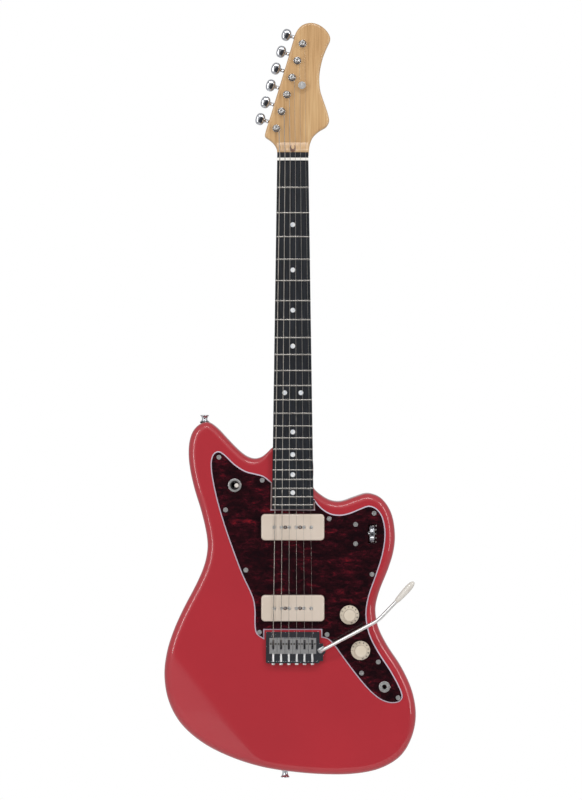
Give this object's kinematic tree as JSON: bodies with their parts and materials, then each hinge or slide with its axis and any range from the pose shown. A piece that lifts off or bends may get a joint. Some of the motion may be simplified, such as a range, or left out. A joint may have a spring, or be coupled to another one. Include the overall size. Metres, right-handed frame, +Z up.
{
  "type": "electric guitar",
  "caption": "Offset solid-body electric guitar with a bolt-on neck, soap-bar pickups, a tortoiseshell pickguard, in-line tuners and a vibrato bridge with an arm.",
  "frame": {"origin": "middle of the neck just under the headstock, where a wall hanger's fork holds it, in the plane of the body's front", "axes": "+Z up the neck to the headstock, +X to the treble side, -Y out of the front"},
  "size_m": [0.3425, 0.0986, 1.027],
  "materials": {
    "red_lacquer": "gloss lacquer over solid wood",
    "tortoiseshell": "polished three-ply plastic",
    "chrome": "mirror plated",
    "maple": "satin lacquer",
    "ebony": "oiled close-grained wood",
    "fret_wire": "polished nickel silver",
    "pearl": "pearl plastic",
    "bone": "polished bone",
    "steel": "plain nickelled steel",
    "walnut": "satin lacquer",
    "cream_plastic": "moulded plastic",
    "coil": "taped coil on a moulded bobbin",
    "wire_insulation": "waxed cloth insulation",
    "capacitor": "dipped ceramic disc",
    "felt": "pressed felt",
    "cover_plastic": "polished plastic sheet",
    "string_wire": "nickel wound and plain steel",
    "zinc": "cast and painted zinc",
    "ivory_plastic": "moulded plastic",
    "knob_plastic": "moulded plastic"
  },
  "bodies": {
    "guitar": {"body": "red_lacquer", "pickguard": "tortoiseshell", "pickguard_screws": "chrome", "neck": "maple", "fretboard": "ebony", "frets": "fret_wire", "fret_dots": "pearl", "nut": "bone", "truss_rod": "steel", "truss_rod_plug": "walnut", "string_tree": "chrome", "neck_plate": "chrome", "neck_screws": "chrome", "tuner_housings": "chrome", "tuner_ferrules": "chrome", "tuner_screws": "chrome", "neck_pickup_cover": "cream_plastic", "bridge_pickup_cover": "cream_plastic", "pickup_coils": "coil", "pickup_screws": "steel", "control_pots": "steel", "panel_nuts": "chrome", "toggle_switch": "steel", "roller_bracket": "steel", "output_jack": "chrome", "wiring": "wire_insulation", "tone_capacitor": "capacitor", "strap_buttons": "chrome", "strap_button_screws": "chrome", "strap_button_felt": "felt", "spring_claw": "steel", "claw_screws": "steel", "tremolo_springs": "steel", "back_cover": "cover_plastic", "back_cover_screws": "chrome", "pivot_studs": "chrome", "strings": "string_wire"},
    "vibrato": {"bridge_plate": "chrome", "tremolo_block": "zinc", "saddles": "chrome", "saddle_height_screws": "steel", "intonation_screws": "steel"},
    "arm": {"tremolo_arm": "chrome", "arm_tip": "ivory_plastic"},
    "volume_control": {"volume_knob": "knob_plastic"},
    "tone_control": {"tone_knob": "knob_plastic"},
    "toggle": {"toggle_lever": "knob_plastic"},
    "roller": {"roller_wheel": "chrome"},
    "key_1": {"tuner_key_1": "chrome"},
    "post_1": {"tuner_post_1": "chrome"},
    "key_2": {"tuner_key_2": "chrome"},
    "post_2": {"tuner_post_2": "chrome"},
    "key_3": {"tuner_key_3": "chrome"},
    "post_3": {"tuner_post_3": "chrome"},
    "key_4": {"tuner_key_4": "chrome"},
    "post_4": {"tuner_post_4": "chrome"},
    "key_5": {"tuner_key_5": "chrome"},
    "post_5": {"tuner_post_5": "chrome"},
    "key_6": {"tuner_key_6": "chrome"},
    "post_6": {"tuner_post_6": "chrome"}
  },
  "joints": [
    {"name": "vibrato_rock", "type": "hinge", "parent": "guitar", "child": "vibrato", "pos_m": [0, -0.0025, -0.6591], "axis": [1, 0, 0], "range_deg": [-10, 2], "stiffness_Nm_per_rad": 18, "deforming": ["strings", "tremolo_springs"]},
    {"name": "arm_swing", "type": "hinge", "parent": "vibrato", "child": "arm", "pos_m": [0.0376, 0, -0.6795], "axis": [0, -1, 0], "range_deg": [-90, 25]},
    {"name": "volume_turn", "type": "hinge", "parent": "guitar", "child": "volume_control", "pos_m": [0.0768, -0.01, -0.6313], "axis": [0, -1, 0], "range_deg": [-150, 150]},
    {"name": "tone_turn", "type": "hinge", "parent": "guitar", "child": "tone_control", "pos_m": [0.0918, -0.01, -0.6795], "axis": [0, -1, 0], "range_deg": [-150, 150]},
    {"name": "toggle_tilt", "type": "hinge", "parent": "guitar", "child": "toggle", "pos_m": [-0.0787, 0.003, -0.4557], "axis": [0, 0, 1], "range_deg": [-16, 0]},
    {"name": "roller_turn", "type": "hinge", "parent": "guitar", "child": "roller", "pos_m": [0.1075, 0.006, -0.5219], "axis": [1, 0, 0], "range_deg": [-135, 135]},
    {"name": "key_1_turn", "type": "hinge", "parent": "guitar", "child": "key_1", "pos_m": [-0.02008, 0.0205, 0.03556], "axis": [-0.9553, 0, 0.2957], "continuous": true},
    {"name": "post_1_turn", "type": "hinge", "parent": "guitar", "child": "post_1", "pos_m": [-0.0223, 0, 0.0284], "axis": [0, -1, 0], "continuous": true},
    {"name": "key_2_turn", "type": "hinge", "parent": "guitar", "child": "key_2", "pos_m": [-0.01297, 0.0205, 0.05854], "axis": [-0.9553, 0, 0.2957], "continuous": true},
    {"name": "post_2_turn", "type": "hinge", "parent": "guitar", "child": "post_2", "pos_m": [-0.01519, 0, 0.05137], "axis": [0, -1, 0], "continuous": true},
    {"name": "key_3_turn", "type": "hinge", "parent": "guitar", "child": "key_3", "pos_m": [-0.00586, 0.0205, 0.08151], "axis": [-0.9553, 0, 0.2957], "continuous": true},
    {"name": "post_3_turn", "type": "hinge", "parent": "guitar", "child": "post_3", "pos_m": [-0.00808, 0, 0.07435], "axis": [0, -1, 0], "continuous": true},
    {"name": "key_4_turn", "type": "hinge", "parent": "guitar", "child": "key_4", "pos_m": [0.00125, 0.0205, 0.10449], "axis": [-0.9553, 0, 0.2957], "continuous": true},
    {"name": "post_4_turn", "type": "hinge", "parent": "guitar", "child": "post_4", "pos_m": [-0.00097, 0, 0.09732], "axis": [0, -1, 0], "continuous": true},
    {"name": "key_5_turn", "type": "hinge", "parent": "guitar", "child": "key_5", "pos_m": [0.00836, 0.0205, 0.12746], "axis": [-0.9553, 0, 0.2957], "continuous": true},
    {"name": "post_5_turn", "type": "hinge", "parent": "guitar", "child": "post_5", "pos_m": [0.00615, 0, 0.1203], "axis": [0, -1, 0], "continuous": true},
    {"name": "key_6_turn", "type": "hinge", "parent": "guitar", "child": "key_6", "pos_m": [0.01548, 0.0205, 0.15044], "axis": [-0.9553, 0, 0.2957], "continuous": true},
    {"name": "post_6_turn", "type": "hinge", "parent": "guitar", "child": "post_6", "pos_m": [0.01326, 0, 0.14327], "axis": [0, -1, 0], "continuous": true}
  ],
  "couplings": [
    {"joint": "post_1_turn", "follows": "key_1_turn", "ratio": 0.06667},
    {"joint": "post_2_turn", "follows": "key_2_turn", "ratio": 0.06667},
    {"joint": "post_3_turn", "follows": "key_3_turn", "ratio": 0.06667},
    {"joint": "post_4_turn", "follows": "key_4_turn", "ratio": 0.06667},
    {"joint": "post_5_turn", "follows": "key_5_turn", "ratio": 0.06667},
    {"joint": "post_6_turn", "follows": "key_6_turn", "ratio": 0.06667}
  ]
}
